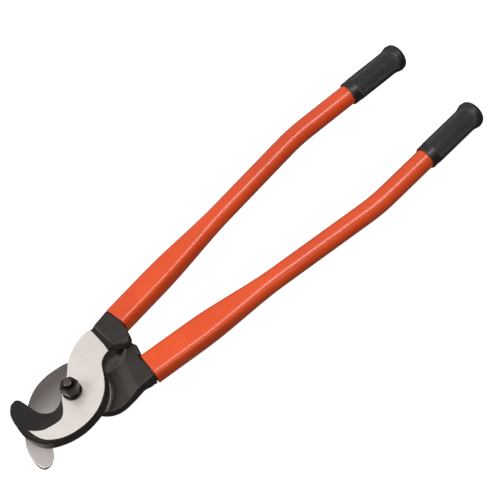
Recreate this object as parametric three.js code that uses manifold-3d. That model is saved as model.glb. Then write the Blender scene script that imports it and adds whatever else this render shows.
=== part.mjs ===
// Two-handed bypass cable cutter, closed against its stops.
// Units are millimetres. +Z is the pivot axis, +X runs from the pivot towards the
// grips along the line half way between the two handles, and the origin is the
// centre of the flat underside of the pivot bolt's head.
import * as THREE from 'three';
import { mergeVertices } from 'three/addons/utils/BufferGeometryUtils.js';
import Module from 'manifold-3d';

const wasm = await Module();
wasm.setup();

// ---------------------------------------------------------------- dimensions
const MID = 23.1;            // height of the plane where the two blades slide on each other
const GAP = 0.15;            // each blade's clearance to that plane
const BLADE = 12.5;          // blade thickness
const HEAD = 15.2;           // outer face of the forged head, from the sliding plane
const HEAD_IN = -3.2;        // inner face of the forged head, past the sliding plane
const LOBE_IN = 4.0;         // underside of the stop lobe on the front head
const BORE_R = 7.5;          // bore for the bush in each blade
const BUSH_R = 7.2;          // pivot bush, outside radius
const BUSH_ID_R = 5.3;       // pivot bush, inside radius
const BOLT_R = 5.0;          // M10 pivot bolt
const HEX_AF = 17.0;         // across flats of bolt head and nut
const BOLT_HEAD_H = 7.5;
const WASHER_R = 10.3;
const WASHER_ID_R = 5.5;
const REAR_WASHER_T = 2.5;
const FRONT_WASHER_T = 2.3;
const NUT_H = 11.8;
const BOLT_END = 55.4;       // top of the bolt's hexagonal tail
const TAIL_AF = 8.6;         // across flats of that tail, which holds the bolt while the nut is set
const SPRING_R = 11.2;       // disc springs under the bolt head
const SPRING_POCKET_R = 11.6;
const SPRING_POCKET_D = 4.2;
const HANDLE_OFF = 6.0;      // each handle's centre plane lies this far from the sliding plane
const MOUTH_T = 24.0;        // tube thickness along Z at the head
const TUBE_R = 11.4;         // round part of the handle tube
const WALL = 2.4;            // tube wall
const GRIP_END = 10.0;       // grip's closed end, past the tube's far end
const GRIP_R = 13.6;
const BELL_R = 15.6;         // flared end of the grip

// front (upper) handle and rear (lower) handle: centre lines in plan
const PIVOT_AT = [0.9, -0.5]; // pivot axis in the coordinates of the outlines below
const UPPER = { y0: 24.7, k1: 0.110, xb: 362, k2: -0.046, mouthX: 84.3, mouthW: 28.4, grip: 438.5, end: 505.0, z: MID + HANDLE_OFF };
const LOWER = { y0: -20.1, k1: -0.112, xb: 362, k2: 0.048, mouthX: 73.3, mouthW: 32.0, grip: 436.5, end: 507.0, z: MID - HANDLE_OFF };

// ---------------------------------------------------------------- helpers
function toSolid(geometry) {
  let g = geometry.clone();
  g.deleteAttribute('normal');
  g.deleteAttribute('uv');
  g = mergeVertices(g, 1e-4);
  return new wasm.Manifold(new wasm.Mesh({
    numProp: 3,
    vertProperties: new Float32Array(g.attributes.position.array),
    triVerts: new Uint32Array(g.index.array),
  }));
}
function toGeometry(solid) {
  const m = solid.getMesh();
  const g = new THREE.BufferGeometry();
  g.setAttribute('position', new THREE.BufferAttribute(new Float32Array(m.vertProperties), 3));
  g.setIndex(new THREE.BufferAttribute(new Uint32Array(m.triVerts), 1));
  g.computeVertexNormals();
  return g;
}
const V = (a) => new THREE.Vector2(a[0], a[1]);
// a smooth run through plan points, n steps
function smooth(points, n) {
  return new THREE.SplineCurve(points.map(V)).getPoints(n);
}
// closed outline from runs; each run is [points, steps], steps 0 keeps straight lines
function outline(runs) {
  const out = [];
  for (const [pts, n] of runs) {
    const seg = n ? smooth(pts, n) : pts.map(V);
    for (const p of seg) {
      const last = out[out.length - 1];
      if (!last || last.distanceTo(p) > 0.05) out.push(p);
    }
  }
  if (out[0].distanceTo(out[out.length - 1]) < 0.05) out.pop();
  return out;
}
function slab(points, z0, z1) {
  const g = new THREE.ExtrudeGeometry(new THREE.Shape(points), { depth: z1 - z0, bevelEnabled: false, steps: 1 });
  g.translate(0, 0, z0);
  return toSolid(g);
}
function disc(r, z0, z1, n = 40, cx = 0, cy = 0) {
  const g = new THREE.CylinderGeometry(r, r, z1 - z0, n);
  g.rotateX(Math.PI / 2);
  g.translate(cx, cy, (z0 + z1) / 2);
  return toSolid(g);
}
function lathe(profile, n = 36) {
  const g = new THREE.LatheGeometry(profile.map(V), n);
  g.rotateX(Math.PI / 2);
  return g;
}
// solid with a polygonal plan whose top and bottom heights differ at each corner
function ramp(corners) {            // corners: [x, y, zLow, zHigh], counter-clockwise
  const n = corners.length;
  const pos = [];
  for (const c of corners) pos.push(c[0], c[1], c[2]);
  for (const c of corners) pos.push(c[0], c[1], c[3]);
  const idx = [];
  for (let i = 1; i < n - 1; i++) { idx.push(0, i + 1, i); idx.push(n, n + i, n + i + 1); }
  for (let i = 0; i < n; i++) {
    const j = (i + 1) % n;
    idx.push(i, j, n + j, i, n + j, n + i);
  }
  const g = new THREE.BufferGeometry();
  g.setAttribute('position', new THREE.Float32BufferAttribute(pos, 3));
  g.setIndex(idx);
  return toSolid(g);
}
// ground bevel behind a curved cutting edge: everything above the slope that rises
// from the edge line (height zEdge) to the face line (height zFace)
function bevelCutter(edge, face, steps, zEdge, zFace) {
  const a = smooth(edge, steps);
  const b = smooth(face, steps);
  const s = Math.sign(zFace - zEdge);
  const top = zFace + s * 14;
  const rings = [];
  for (let i = 0; i <= steps; i++) {
    const k = 1.5;
    const bx = a[i].x + (b[i].x - a[i].x) * k;
    const by = a[i].y + (b[i].y - a[i].y) * k;
    const bz = zEdge + (zFace - zEdge) * k;
    const d = new THREE.Vector2(b[i].x - a[i].x, b[i].y - a[i].y).normalize();
    const ox = a[i].x - d.x * 2.2;
    const oy = a[i].y - d.y * 2.2;
    rings.push([[ox, oy, zEdge], [a[i].x, a[i].y, zEdge], [bx, by, bz], [bx, by, top], [ox, oy, top]]);
  }
  const n = 5;
  const pos = [];
  for (const r of rings) for (const p of r) pos.push(...p);
  const idx = [];
  for (let i = 0; i < steps; i++) {
    for (let j = 0; j < n; j++) {
      const k = (j + 1) % n;
      const p = i * n + j, q = i * n + k, u = (i + 1) * n + k, v = (i + 1) * n + j;
      idx.push(p, u, q, p, v, u);
    }
  }
  for (let j = 1; j < n - 1; j++) {
    idx.push(0, j, j + 1);
    const e = steps * n;
    idx.push(e, e + j + 1, e + j);
  }
  let g = new THREE.BufferGeometry();
  g.setAttribute('position', new THREE.Float32BufferAttribute(pos, 3));
  g.setIndex(idx);
  let m = toSolid(g);
  if (m.volume() < 0) {
    for (let i = 0; i < idx.length; i += 3) { const t = idx[i + 1]; idx[i + 1] = idx[i + 2]; idx[i + 2] = t; }
    g = new THREE.BufferGeometry();
    g.setAttribute('position', new THREE.Float32BufferAttribute(pos, 3));
    g.setIndex(idx);
    m = toSolid(g);
  }
  return m;
}
const group = new THREE.Group();
function add(name, geometry, color, roughness, metalness) {
  const mesh = new THREE.Mesh(geometry, new THREE.MeshStandardMaterial({ color, roughness, metalness }));
  mesh.name = name;
  group.add(mesh);
  return mesh;
}

// ---------------------------------------------------------------- handle lines
// centre line point, smoothed over the bend
function handlePoint(h, x) {
  const yb = h.y0 + h.k1 * h.xb;
  const y1 = h.y0 + h.k1 * x;
  const y2 = yb + h.k2 * (x - h.xb);
  const w = 16;                       // half length of the bend
  const t = (x - h.xb) / w;
  if (t <= -1) return [x, y1];
  if (t >= 1) return [x, y2];
  const dk = h.k2 - h.k1;
  return [x, y1 + dk * w * 0.25 * (t + 1) * (t + 1)];
}
function handleDir(h, x) {
  const a = handlePoint(h, x - 0.5), b = handlePoint(h, x + 0.5);
  return new THREE.Vector2(b[0] - a[0], b[1] - a[1]).normalize();
}
// cross-section: a rounded rectangle that turns into a circle
function sectionPoint(angle, w, t, r) {
  const hw = w / 2 - r, ht = t / 2 - r;
  const c = Math.cos(angle), s = Math.sin(angle);
  const sq = (v, e) => Math.sign(v) * Math.min(1, Math.abs(v) * e);
  return [sq(c, 1.6) * hw + c * r, sq(s, 1.6) * ht + s * r];
}
function blendAt(x, h) {             // 1 at the flattened mouth, 0 where the tube is round
  const t = THREE.MathUtils.clamp((x - (h.mouthX + 55)) / 105, 0, 1);
  return 1 - t * t * (3 - 2 * t);
}
const STATIONS = [0, 55, 75, 95, 115, 135, 160];
function stations(h, xEnd) {
  const xs = STATIONS.map((d) => h.mouthX + d);
  for (const x of [h.xb - 17, h.xb - 10, h.xb - 4, h.xb + 4, h.xb + 10, h.xb + 17]) xs.push(x);
  xs.push(xEnd);
  return xs;
}
// closed skin along the handle, shrunk by inset
function handleSkin(h, inset, xs, ends) {
  const radial = 24;
  const g = new THREE.CylinderGeometry(1, 1, 1, radial, xs.length - 1, false);
  const p = g.attributes.position;
  for (let i = 0; i < p.count; i++) {
    const px = p.getX(i), py = p.getY(i), pz = p.getZ(i);
    const row = Math.round((0.5 - py) * (xs.length - 1));
    let x = xs[row];
    if (row === 0) x += ends[0];
    if (row === xs.length - 1) x += ends[1];
    const f = blendAt(x, h);
    const w = THREE.MathUtils.lerp(2 * TUBE_R, h.mouthW, f) - 2 * inset;
    const t = THREE.MathUtils.lerp(2 * TUBE_R, MOUTH_T, f) - 2 * inset;
    const r = Math.min(THREE.MathUtils.lerp(TUBE_R, 6.5, f) - inset, w / 2, t / 2);
    const rad = Math.hypot(px, pz);
    let off = [0, 0];
    if (rad > 1e-6) off = sectionPoint(Math.atan2(pz, px), w, t, r);
    const c = handlePoint(h, x);
    const d = handleDir(h, x);
    p.setXYZ(i, c[0] - d.y * off[0], c[1] + d.x * off[0], h.z + off[1]);
  }
  g.computeVertexNormals();
  let m = toSolid(g);
  if (m.volume() < 0) {
    const ix = g.index;
    for (let i = 0; i < ix.count; i += 3) { const a = ix.getX(i + 1); ix.setX(i + 1, ix.getX(i + 2)); ix.setX(i + 2, a); }
    m = toSolid(g);
  }
  return m;
}
// places a lathe made along +Z on the handle line at x, pointing away from the head
function onHandle(h, geometry, x) {
  const c = handlePoint(h, x), d = handleDir(h, x);
  geometry.applyMatrix4(new THREE.Matrix4().makeBasis(
    new THREE.Vector3(-d.y, d.x, 0), new THREE.Vector3(0, 0, 1), new THREE.Vector3(d.x, d.y, 0)));
  geometry.translate(c[0], c[1], h.z);
  return geometry;
}

// ---------------------------------------------------------------- blades
// front blade: hub, hook and neck
const FRONT_EDGE = [[-5.5, 10.9], [-12.5, 8.2], [-18.6, 5.3], [-25.0, 4.5], [-30.7, 7.6], [-35.6, 13.9], [-38.0, 22.1], [-39.0, 30], [-40.3, 38], [-42.0, 46]];
const FRONT_FACE = [[-6.2, 9.0], [-12.0, 1.0], [-19.1, -10.2], [-27.0, -16.0], [-39.6, -14.2], [-49.1, -9.9], [-58.5, 2], [-63, 21], [-70, 38], [-78, 56]];
const frontPlate = outline([
  [[[66, 43.0], [58.1, 43.9]], 0],
  [[[58.1, 43.9], [49.0, 43.9], [40.9, 42.6], [30.2, 38.0], [23.2, 34.0], [18.0, 29.6], [13.2, 24.4], [8.2, 18.8], [2.0, 13.8], [-5.5, 10.9], [-12.5, 8.2], [-18.6, 5.3], [-25.0, 4.5], [-30.7, 7.6], [-35.6, 13.9], [-38.0, 22.1], [-39.0, 30], [-40.3, 38]], 56],
  [[[-40.3, 38], [-41.8, 42.2], [-45.6, 44.4], [-50.4, 43.4], [-53.4, 40.0]], 10],
  [[[-53.4, 40.0], [-57.6, 33.5], [-60.4, 25.5], [-62.5, 14], [-62.9, 3.5], [-61.5, -8.9], [-57.2, -20.2], [-50.8, -27.4], [-39.0, -34.2], [-27.5, -38.0], [-14.1, -39.6], [0.8, -38.0], [13.6, -34.0], [25.6, -25.6], [33.6, -14.6], [37.6, -5.2], [41.7, 2.6], [47.5, 6.9], [54.0, 8.8], [62, 9.4]], 48],
  [[[62, 9.4], [66, 10]], 0],
]);
const REAR_EDGE = [[-5.5, -10.9], [-12.5, -7.2], [-18.6, -3.2], [-25, -0.9], [-31, -1.2], [-38, -5], [-44, -13], [-49.5, -24], [-53.5, -32], [-60, -46]];
const REAR_FACE = [[-6.2, -9.0], [-12.5, 0], [-19, 11], [-28, 18.5], [-39, 16.5], [-51, 9], [-62, -2], [-78, -15], [-104, -24], [-140, -40]];
const rearPlate = outline([
  [[[72, 8.0], [70, 11.5], [66, 12.8], [58, 13.2], [50, 13.4]], 0],
  [[[50, 13.4], [45.0, 13.6], [41.0, 15.6], [36.6, 21.6], [29.2, 32.3], [19.9, 39.1], [9.9, 42.0], [-2.6, 43.6], [-15.7, 42.6], [-26.6, 38.9], [-38.3, 31.3], [-50, 20.6], [-58.5, 11.0], [-64.7, 1.6], [-68.8, -6], [-71.9, -16], [-73.0, -26.2], [-72.2, -34.0], [-69.8, -38.5], [-65.4, -40.2], [-60.6, -39.2], [-56.8, -36.2], [-53.5, -32]], 64],
  [[[-53.5, -32], [-49.5, -24], [-44, -13], [-38, -5], [-31, -1.2], [-25, -0.9], [-18.6, -3.2], [-12.5, -7.2], [-5.5, -10.9], [0.5, -15.5], [4.0, -22.5], [7.0, -30.1], [12.2, -36.6], [19.6, -41.4], [28.2, -43.4], [38, -43.2], [48, -42.2], [58, -42.2], [66, -42.2]], 44],
]);

// ---------------------------------------------------------------- front forging
{
  let body = slab(frontPlate, MID + GAP, MID + BLADE);
  const head = outline([
    [[[55.0, 8.9], [57.8, 43.5], [60.6, 41.8], [72, 43.6], [83.0, 45.9], [85.8, 21.4]], 0],
    [[[85.8, 21.4], [84.8, 16.5], [83.3, 9.5], [81.0, 3.7], [76.2, 0.6], [70.4, 2.4], [66.0, 7.0], [61.5, 9.2], [55.0, 8.9]], 26],
  ]);
  // the lobe overhangs; below it the head stops short, on the rear head's shoulder
  const deep = outline([
    [[[55.0, 8.9], [57.8, 43.5], [60.6, 41.8], [72, 43.6], [83.0, 45.9], [85.8, 21.4], [85.4, 17.0]], 0],
    [[[85.4, 17.0], [83.6, 12.0], [79.6, 8.4], [73.0, 7.2], [67.0, 7.4], [61.5, 9.2], [55.0, 8.9]], 18],
  ]);
  let block = slab(head, MID + LOBE_IN, MID + HEAD).add(slab(deep, MID + HEAD_IN, MID + LOBE_IN + 0.5));
  // the raised head falls away to the ground face of the blade
  block = block.subtract(ramp([
    [48, 0, MID + BLADE, MID + 30], [56.0, 0, MID + BLADE, MID + 30], [63.2, 0, MID + HEAD + 0.02, MID + 30],
    [64.8, 50, MID + HEAD + 0.02, MID + 30], [59.8, 50, MID + BLADE, MID + 30], [48, 50, MID + BLADE, MID + 30]]));
  // underside: the head drops below the sliding plane only outside the rear blade's reach
  block = block.subtract(ramp([
    [40, -4, MID - 20, MID + GAP], [56.0, -4, MID - 20, MID + GAP], [64.5, -4, MID - 20, MID + HEAD_IN - 0.02],
    [64.5, 60, MID - 20, MID + HEAD_IN - 0.02], [56.0, 60, MID - 20, MID + GAP], [40, 60, MID - 20, MID + GAP]]));
  body = body.add(block);
  body = body.subtract(bevelCutter(FRONT_EDGE, FRONT_FACE, 30, MID + 0.9, MID + BLADE));
  // tang, stepped in by the tube wall and a fitting gap, with two blind pin holes from below
  const tangX = [UPPER.mouthX - 2, UPPER.mouthX + 30, UPPER.mouthX + 55];
  body = body.translate([-PIVOT_AT[0], -PIVOT_AT[1], 0]);
  body = body.subtract(disc(BORE_R, MID - 5, MID + 30));
  body = body.add(handleSkin(UPPER, WALL + 0.3, tangX, [0, 0]));
  for (const d of [18, 40]) {
    const c = handlePoint(UPPER, UPPER.mouthX + d);
    body = body.subtract(disc(2.8, UPPER.z - 12, UPPER.z + 4.3, 20, c[0], c[1]));
  }
  add('front_jaw', toGeometry(body), 0xd8d2cc, 0.35, 0.9);
}

// ---------------------------------------------------------------- rear forging
{
  let body = slab(rearPlate, MID - BLADE, MID - GAP);
  // the face outside the hub is stepped down so the front hook clears it
  const sector = [];
  for (let i = 0; i <= 16; i++) {
    const a = THREE.MathUtils.degToRad(-80 + (78 * i) / 16);
    sector.push([37.9 * Math.cos(a), 37.9 * Math.sin(a)]);
  }
  const far = [];
  for (let i = 16; i >= 0; i--) {
    const a = THREE.MathUtils.degToRad(-80 + (78 * i) / 16);
    far.push([90 * Math.cos(a), 90 * Math.sin(a)]);
  }
  body = body.subtract(slab([...sector, ...far].map(V), MID - 0.9, MID + 2));
  const head = outline([
    [[[56, -42.2], [71.0, -42.0], [74.6, -14.0], [74.8, -11.7], [79.2, -12.2], [81.6, -2.0], [80.6, 1.2], [78.0, 4.6], [73.0, 6.6], [56, 6.6]], 0],
  ]);
  let block = slab(head, MID - HEAD, MID - HEAD_IN);
  // lower face: the thick head falls away to the blade's outer face
  block = block.subtract(ramp([
    [44, -50, MID - 30, MID - BLADE], [56.5, -50, MID - 30, MID - BLADE], [64.0, -50, MID - 30, MID - HEAD - 0.02],
    [63.0, 15, MID - 30, MID - HEAD - 0.02], [56.5, 15, MID - 30, MID - BLADE], [44, 15, MID - 30, MID - BLADE]]));
  body = body.add(block);
  // upper face: a ramp climbs from the step round the hub to the flat on the head
  body = body.add(ramp([
    [35.9, -43.0, MID - 6, MID - 0.9], [49.6, -42.1, MID - 6, MID - HEAD_IN], [57.6, -17.0, MID - 6, MID - HEAD_IN], [46.9, -11.3, MID - 6, MID - 0.9]]));
  body = body.add(ramp([
    [49.6, -42.1, MID - 6, MID - HEAD_IN], [60, -42.1, MID - 6, MID - HEAD_IN], [60, -16.0, MID - 6, MID - HEAD_IN], [57.6, -17.0, MID - 6, MID - HEAD_IN]]));
  // scoop beside the stop, where the front head's lobe comes down
  body = body.subtract(ramp([
    [38, 16, MID - 0.3, MID + 9], [42, -8.0, MID - 0.9, MID + 9], [54.0, -9.6, MID - 0.9, MID + 9], [54.0, 16, MID - 0.3, MID + 9]]));
  body = body.subtract(slab([[53.9, 4.6], [69.8, 4.6], [73.5, 7.2], [73.5, 16], [53.9, 16]].map(V), MID - 3.8, MID + 9));
  body = body.subtract(ramp([
    [53.9, 4.7, MID - 3.8, MID + 9], [53.9, -9.6, MID - 0.9, MID + 9], [62.6, -7.0, MID + 0.2, MID + 9], [69.6, 1.0, MID - 2.6, MID + 9], [69.8, 4.7, MID - 3.8, MID + 9]]));
  body = body.subtract(bevelCutter(REAR_EDGE, REAR_FACE, 30, MID - 0.9, MID - BLADE));
  const tangX = [LOWER.mouthX - 2, LOWER.mouthX + 30, LOWER.mouthX + 55];
  body = body.translate([-PIVOT_AT[0], -PIVOT_AT[1], 0]);
  body = body.add(handleSkin(LOWER, WALL + 0.3, tangX, [0, 0]));
  body = body.subtract(disc(BORE_R, MID - 30, MID + 5));
  body = body.subtract(disc(SPRING_POCKET_R, MID - 30, MID - BLADE + SPRING_POCKET_D, 40));
  for (const d of [18, 40]) {
    const c = handlePoint(LOWER, LOWER.mouthX + d);
    body = body.subtract(disc(2.8, LOWER.z - 12, LOWER.z + 4.3, 20, c[0], c[1]));
  }
  add('rear_jaw', toGeometry(body), 0x7c746f, 0.4, 0.9);
}

// ---------------------------------------------------------------- pivot
function hexPrism(af, z0, z1, chamferTop, chamferBottom) {
  const R = af / Math.sqrt(3);
  const g = new THREE.CylinderGeometry(R, R, z1 - z0, 6);
  g.rotateX(Math.PI / 2);
  g.rotateZ(Math.PI / 12);
  g.translate(0, 0, (z0 + z1) / 2);
  let m = toSolid(g);
  const c = 1.3;
  const prof = [[0, z0 - (chamferBottom ? 0 : 1)]];
  if (chamferBottom) prof.push([af / 2 - 0.3, z0], [R + 0.1, z0 + c]); else prof.push([R + 1, z0 - 1]);
  if (chamferTop) prof.push([R + 0.1, z1 - c], [af / 2 - 0.3, z1], [0, z1]); else prof.push([R + 1, z1 + 1], [0, z1 + 1]);
  const l = lathe(prof, 36);
  let s = toSolid(l);
  if (s.volume() < 0) {
    l.index.array.reverse();
    s = toSolid(l);
  }
  return m.intersect(s);
}
function ring(rOut, rIn, z0, z1, c = 0.4, n = 36) {
  const g = lathe([[rIn, z0], [rOut - c, z0], [rOut, z0 + c], [rOut, z1 - c], [rOut - c, z1], [rIn, z1], [rIn, z0]], n);
  return fixed(g);
}
// makes sure a closed surface faces outwards
function fixed(g) {
  let s = toSolid(g);
  if (s.volume() < 0) {
    g.index.array.reverse();
    s = toSolid(g);
  }
  return s;
}
{
  const nutTop = MID + BLADE + 0.3 + FRONT_WASHER_T + 0.3 + NUT_H;
  const shank = fixed(lathe([[0, BOLT_HEAD_H - 1], [BOLT_R, BOLT_HEAD_H - 1], [BOLT_R, nutTop - 0.4], [BOLT_R - 0.6, nutTop + 0.2], [0, nutTop + 0.2]], 32));
  const tail = hexPrism(TAIL_AF, nutTop - 1, BOLT_END, true, false);
  add('pivot_bolt', toGeometry(hexPrism(HEX_AF, 0, BOLT_HEAD_H, false, true).add(shank).add(tail)), 0x3c3532, 0.45, 0.8);
}
const zw = BOLT_HEAD_H + 0.3;
add('rear_washer', toGeometry(ring(WASHER_R + 0.6, WASHER_ID_R, zw, zw + REAR_WASHER_T)), 0x3c3532, 0.45, 0.8);
{
  const base = zw + REAR_WASHER_T + 0.3;
  const cone = (z, up) => {
    const h = 0.7, t = 1.1;
    const a = up ? 0 : h, b = up ? h : 0;
    return fixed(lathe([[5.6, z + a], [SPRING_R, z + b], [SPRING_R, z + b + t], [5.6, z + a + t], [5.6, z + a]], 36));
  };
  add('disc_spring_outer', toGeometry(cone(base, false)), 0x55504c, 0.4, 0.8);
  add('disc_spring_inner', toGeometry(cone(base + 2.1, false)), 0x55504c, 0.4, 0.8);
}
{
  const z0 = MID - BLADE + SPRING_POCKET_D + 0.3;
  add('rear_bush', toGeometry(ring(BUSH_R, BUSH_ID_R, z0, MID - 0.3, 0.3, 32)), 0x8a8480, 0.35, 0.9);
  add('front_bush', toGeometry(ring(BUSH_R, BUSH_ID_R, MID + 0.3, MID + BLADE - 0.1, 0.3, 32)), 0x8a8480, 0.35, 0.9);
}
{
  const z0 = MID + BLADE + 0.3;
  add('front_washer', toGeometry(ring(WASHER_R, WASHER_ID_R, z0, z0 + FRONT_WASHER_T)), 0x3c3532, 0.45, 0.8);
  const n0 = z0 + FRONT_WASHER_T + 0.3;
  const nut = hexPrism(HEX_AF, n0, n0 + NUT_H, true, true).subtract(disc(BOLT_R + 0.3, n0 - 2, n0 + NUT_H + 2, 32));
  add('pivot_nut', toGeometry(nut), 0x3c3230, 0.45, 0.8);
}

// ---------------------------------------------------------------- handles
for (const [side, h] of [['upper', UPPER], ['lower', LOWER]]) {
  const xs = stations(h, h.end);
  let tube = handleSkin(h, 0, xs, [0, 0]).subtract(handleSkin(h, WALL, xs, [-0.6, 0.6]));
  // pin holes through the tube's rear wall only
  for (const d of [18, 40]) {
    const c = handlePoint(h, h.mouthX + d);
    tube = tube.subtract(disc(2.8, h.z - 16, h.z - 5, 20, c[0], c[1]));
  }
  add(`${side}_handle_tube`, toGeometry(tube), 0xe4552d, 0.35, 0.1);

  [18, 40].forEach((d, i) => {
    const c = handlePoint(h, h.mouthX + d);
    const g = lathe([[0, 0], [2.1, 0], [2.5, 0.5], [2.5, 15.2], [2.1, 15.7], [0, 15.7]], 20);
    g.translate(c[0], c[1], h.z - 11.8);
    add(`${side}_tang_pin_${i + 1}`, toGeometry(fixed(g)), 0x2b2928, 0.5, 0.8);
  });

  // plug that closes the tube's end
  const ri = TUBE_R - WALL - 0.3;
  const plug = lathe([[0, -16], [ri - 1, -16], [ri, -15], [ri, -0.3 + 0.6], [TUBE_R - 0.2, 0.3], [TUBE_R - 0.2, 2.3], [TUBE_R - 1, 3.0], [0, 3.0]], 28);
  add(`${side}_tube_plug`, toGeometry(fixed(onHandle(h, plug, h.end))), 0x222222, 0.6, 0.0);

  // grip: lip, ribbed body, bell and domed end, bored for the tube
  const L = h.end + GRIP_END - h.grip, T = h.end - h.grip;
  const br = TUBE_R + 0.3;
  const grip = lathe([
    [br, 0], [12.4, 0], [13.2, 0.8], [13.2, 7.5], [GRIP_R, 9.0], [GRIP_R, L - 18.5], [14.3, L - 16.0], [15.2, L - 13.0], [BELL_R, L - 10.0], [15.3, L - 7.4],
    [13.9, L - 4.2], [11.2, L - 1.9], [7.2, L - 0.5], [3.6, L], [0, L], [0, T + 3.5], [br, T + 3.5], [br, 0]], 32);
  add(`${side}_grip`, toGeometry(fixed(onHandle(h, grip, h.grip))), 0x2d2b2b, 0.75, 0.0);
}

export default group;
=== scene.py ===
import math

import bmesh
import bpy
import numpy as np
from mathutils import Matrix, Vector
from mathutils.geometry import delaunay_2d_cdt


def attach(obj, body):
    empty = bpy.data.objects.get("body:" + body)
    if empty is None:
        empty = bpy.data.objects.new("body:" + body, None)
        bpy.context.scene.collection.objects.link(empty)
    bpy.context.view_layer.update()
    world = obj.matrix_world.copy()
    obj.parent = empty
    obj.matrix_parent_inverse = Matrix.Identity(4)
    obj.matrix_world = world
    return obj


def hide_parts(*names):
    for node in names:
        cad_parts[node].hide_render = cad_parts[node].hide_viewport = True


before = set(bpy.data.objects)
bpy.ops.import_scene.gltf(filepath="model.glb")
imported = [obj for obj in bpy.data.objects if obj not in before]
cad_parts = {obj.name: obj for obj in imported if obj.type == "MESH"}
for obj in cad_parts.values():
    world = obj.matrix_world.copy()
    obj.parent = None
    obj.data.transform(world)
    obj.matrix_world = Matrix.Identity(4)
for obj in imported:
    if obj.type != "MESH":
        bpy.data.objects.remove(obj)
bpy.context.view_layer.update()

# ------------------------------------------------------------------ dimensions
MID = 23.1
GAP = 0.15
BLADE = 12.5
HEAD = 15.2
HEAD_IN = -3.2
LOBE_IN = 4.0
BORE_R = 7.5
PX, PY = 0.9, -0.5
MOUTH_T = 24.0
TUBE_R = 11.4
WALL = 2.4
GRIP_END = 10.0
UPPER = dict(y0=24.7, k1=0.110, xb=362.0, k2=-0.046, mouthX=84.3, mouthW=28.4, grip=438.5, end=505.0, z=MID + 6)
LOWER = dict(y0=-20.1, k1=-0.112, xb=362.0, k2=0.048, mouthX=73.3, mouthW=32.0, grip=436.5, end=507.0, z=MID - 6)


# ------------------------------------------------------------------ plan helpers
def spline(pts, n):
    """n steps of a uniform Catmull-Rom through pts."""
    p = np.array(pts, float)
    last = len(p) - 1
    out = []
    for i in range(n + 1):
        t = last * i / n
        k = min(int(math.floor(t)), last - 1)
        w = t - k
        a, b, c, d = p[max(k - 1, 0)], p[k], p[k + 1], p[min(k + 2, last)]
        v0, v1 = (c - a) / 2, (d - b) / 2
        out.append((2 * b - 2 * c + v0 + v1) * w ** 3 + (-3 * b + 3 * c - 2 * v0 - v1) * w ** 2 + v0 * w + b)
    return np.array(out)


def even(line, step):
    """The same open line, with points about step apart."""
    line = np.array(line, float)
    seg = np.hypot(*np.diff(line, axis=0).T)
    s = np.r_[0, np.cumsum(seg)]
    n = max(1, int(round(s[-1] / step)))
    q = np.linspace(0, s[-1], n + 1)
    return np.c_[np.interp(q, s, line[:, 0]), np.interp(q, s, line[:, 1])]


def loop(runs, step):
    """Closed outline from runs of (points, curved). The corners between runs stay sharp."""
    out = []
    for pts, curved in runs:
        if curved:
            seg = even(spline(pts, 24 * len(pts)), step)
        else:
            seg = [np.array(pts[0], float)]
            for a, b in zip(pts[:-1], pts[1:]):
                seg.extend(even([a, b], step)[1:])
            seg = np.array(seg)
        for p in seg:
            if not out or np.hypot(*(p - out[-1])) > 0.12:
                out.append(p)
    if np.hypot(*(out[0] - out[-1])) < 0.12:
        out.pop()
    return np.array(out)


def shift(pts):
    return [(x - PX, y - PY) for x, y in pts]


def dist(P, line, closed=True):
    """Distance from each point to a polyline."""
    a = np.array(line, float)
    b = np.roll(a, -1, axis=0) if closed else a[1:]
    if not closed:
        a = a[:-1]
    d = b - a
    dd = (d ** 2).sum(1) + 1e-12
    out = np.empty(len(P))
    for i in range(0, len(P), 4000):
        q = P[i:i + 4000, None, :] - a[None]
        t = np.clip((q * d[None]).sum(2) / dd[None], 0, 1)
        r = q - t[..., None] * d[None]
        out[i:i + 4000] = np.sqrt((r ** 2).sum(2).min(1))
    return out


def inside(P, poly):
    """Whether each point lies in a polygon."""
    x, y = P[:, 0], P[:, 1]
    a = np.array(poly, float)
    b = np.roll(a, -1, axis=0)
    out = np.zeros(len(P), bool)
    for (x0, y0), (x1, y1) in zip(a, b):
        if y0 == y1:
            continue
        hit = ((y0 > y) != (y1 > y)) & (x < (x1 - x0) * (y - y0) / (y1 - y0) + x0)
        out ^= hit
    return out


def smooth01(t):
    t = np.clip(t, 0, 1)
    return t * t * (3 - 2 * t)


def soft_ramp(t, k=0.12):
    """0 below 0, 1 above 1, straight between, with both corners blended over k."""
    def knee(v):
        return np.where(v < -k, 0, np.where(v > k, v, (v + k) ** 2 / (4 * k)))
    return np.clip(knee(t) - knee(t - 1), 0, 1)


def smin(a, b, k):
    h = np.clip(0.5 + 0.5 * (b - a) / k, 0, 1)
    return b * (1 - h) + a * h - k * h * (1 - h)


def roll_off(d, r):
    """Drop of a quarter-round edge of radius r at distance d from the edge. r may vary."""
    q = np.clip(r - d, 0, r)
    return r - np.sqrt(np.maximum(r * r - q * q, 0))


# ------------------------------------------------------------------ mesh helpers
def new_object(name, verts, faces, mats, face_mat=None, smooth=True, sharp=38.0):
    me = bpy.data.meshes.new(name)
    me.from_pydata([tuple(v) for v in np.asarray(verts, float) / 1000.0], [], [tuple(int(i) for i in f) for f in faces])
    for m in mats:
        me.materials.append(m)
    if face_mat is not None:
        me.polygons.foreach_set("material_index", np.asarray(face_mat, np.int32))
    me.validate()
    bm = bmesh.new()
    bm.from_mesh(me)
    bmesh.ops.remove_doubles(bm, verts=bm.verts, dist=2e-7)
    bmesh.ops.recalc_face_normals(bm, faces=bm.faces)
    lim = math.radians(sharp)
    for f in bm.faces:
        f.smooth = smooth
    for e in bm.edges:
        if len(e.link_faces) == 2:
            if e.calc_face_angle(0) > lim:
                e.smooth = False
        else:
            e.smooth = False
    bm.to_mesh(me)
    bm.free()
    me.update()
    o = bpy.data.objects.new(name, me)
    bpy.context.scene.collection.objects.link(o)
    return o


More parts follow.
